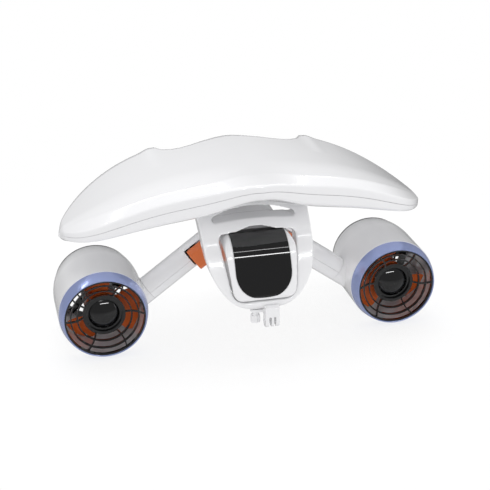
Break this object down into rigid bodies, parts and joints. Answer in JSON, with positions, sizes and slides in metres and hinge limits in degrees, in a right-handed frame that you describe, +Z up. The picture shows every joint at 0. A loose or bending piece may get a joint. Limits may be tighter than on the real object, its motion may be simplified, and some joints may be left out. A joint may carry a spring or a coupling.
{
  "type": "underwater scooter",
  "caption": "Handheld underwater scooter with a central battery pod, two ducted thrusters on grip arms and a clip-on floater.",
  "frame": {"origin": "on the floor under the middle of the machine: the centre of the bounding box's bottom face", "axes": "+Z up; +Y rearwards, so the nose faces -Y; +X to the machine's right-hand side as seen from the front"},
  "size_m": [0.545, 0.261, 0.2589],
  "materials": {
    "white_shell": "gloss",
    "black_gloss": "gloss",
    "black_satin": "satin",
    "blue_ring": "satin",
    "trigger_orange": "gloss",
    "blade_orange": "gloss",
    "liner_grey": "satin",
    "steel": "satin",
    "motor_alu": "satin",
    "copper_wound": "satin",
    "board_green": "matte",
    "seal_rubber": "matte",
    "cable_black": "matte",
    "cell_sleeve": "satin",
    "display_glass": "gloss",
    "inner_grey": "matte"
  },
  "bodies": {
    "scooter": {"arm_lower_cover_left": "white_shell", "arm_lower_cover_right": "white_shell", "arm_upper_cover_left": "white_shell", "arm_upper_cover_right": "white_shell", "battery_socket": "black_satin", "controller_board": "board_green", "display_module": "black_satin", "display_window": "display_glass", "duct_liner_left": "liner_grey", "duct_liner_right": "liner_grey", "front_guard_left": "black_gloss", "front_guard_right": "black_gloss", "guard_dome_left": "black_gloss", "guard_dome_right": "black_gloss", "guard_screws": "steel", "latch_spring": "steel", "motor_bearings": "steel", "motor_cables": "cable_black", "motor_can_left": "motor_alu", "motor_can_right": "motor_alu", "motor_stators": "copper_wound", "motor_tail_left": "motor_alu", "motor_tail_right": "motor_alu", "pod_lower_shell": "white_shell", "pod_screws": "steel", "pod_upper_shell": "white_shell", "rear_guard_left": "black_satin", "rear_guard_right": "black_satin", "shaft_seals": "seal_rubber", "thruster_housing_left": "white_shell", "thruster_housing_right": "white_shell", "trigger_pins": "steel", "trigger_sensors": "board_green", "trigger_springs": "steel", "trim_ring_left": "blue_ring", "trim_ring_right": "blue_ring"},
    "battery": {"nose_cap": "white_shell", "front_panel": "black_gloss", "battery_case": "inner_grey", "battery_cells": "cell_sleeve", "battery_connector": "black_satin", "battery_seal": "seal_rubber"},
    "floater": {"floater_upper_shell": "white_shell", "floater_lower_shell": "white_shell", "rear_cradle": "white_shell", "floater_bracket": "white_shell", "bracket_screws": "steel", "camera_mount": "white_shell"},
    "thumbscrew": {"thumbscrew": "white_shell"},
    "battery_latch": {"battery_latch": "white_shell"},
    "propeller_left": {"propeller_left": "blade_orange", "propeller_nut_left": "steel", "motor_shaft_left": "steel", "motor_rotor_left": "motor_alu"},
    "trigger_left": {"trigger_left": "trigger_orange"},
    "propeller_right": {"propeller_right": "blade_orange", "propeller_nut_right": "steel", "motor_shaft_right": "steel", "motor_rotor_right": "motor_alu"},
    "trigger_right": {"trigger_right": "trigger_orange"}
  },
  "joints": [
    {"name": "battery_slide", "type": "slide", "parent": "scooter", "child": "battery", "axis": [0, -1, 0], "range_m": [0, 0.16]},
    {"name": "floater_slide", "type": "slide", "parent": "scooter", "child": "floater", "axis": [0, -1, 0], "range_m": [0, 0.14]},
    {"name": "thumbscrew_turn", "type": "hinge", "parent": "floater", "child": "thumbscrew", "pos_m": [-0.0115, -0.108, 0.0725], "axis": [0, 0, 1], "continuous": true},
    {"name": "latch_press", "type": "slide", "parent": "scooter", "child": "battery_latch", "axis": [0, 0, -1], "range_m": [0, 0.0025], "stiffness_N_per_m": 400, "springref_m": -0.002, "deforming": ["latch_spring"]},
    {"name": "propeller_left_spin", "type": "hinge", "parent": "scooter", "child": "propeller_left", "pos_m": [-0.21, -0.0115, 0.0625], "axis": [0, 1, 0], "continuous": true},
    {"name": "trigger_left_pull", "type": "hinge", "parent": "scooter", "child": "trigger_left", "pos_m": [-0.07353, 0.008, 0.11768], "axis": [-0.5892, 0, 0.808], "range_deg": [0, 8], "stiffness_Nm_per_rad": 0.6, "springref_deg": -5.73},
    {"name": "propeller_right_spin", "type": "hinge", "parent": "scooter", "child": "propeller_right", "pos_m": [0.21, -0.0115, 0.0625], "axis": [0, 1, 0], "continuous": true},
    {"name": "trigger_right_pull", "type": "hinge", "parent": "scooter", "child": "trigger_right", "pos_m": [0.07353, 0.008, 0.11768], "axis": [-0.5892, 0, -0.808], "range_deg": [0, 8], "stiffness_Nm_per_rad": 0.6, "springref_deg": -5.73}
  ]
}
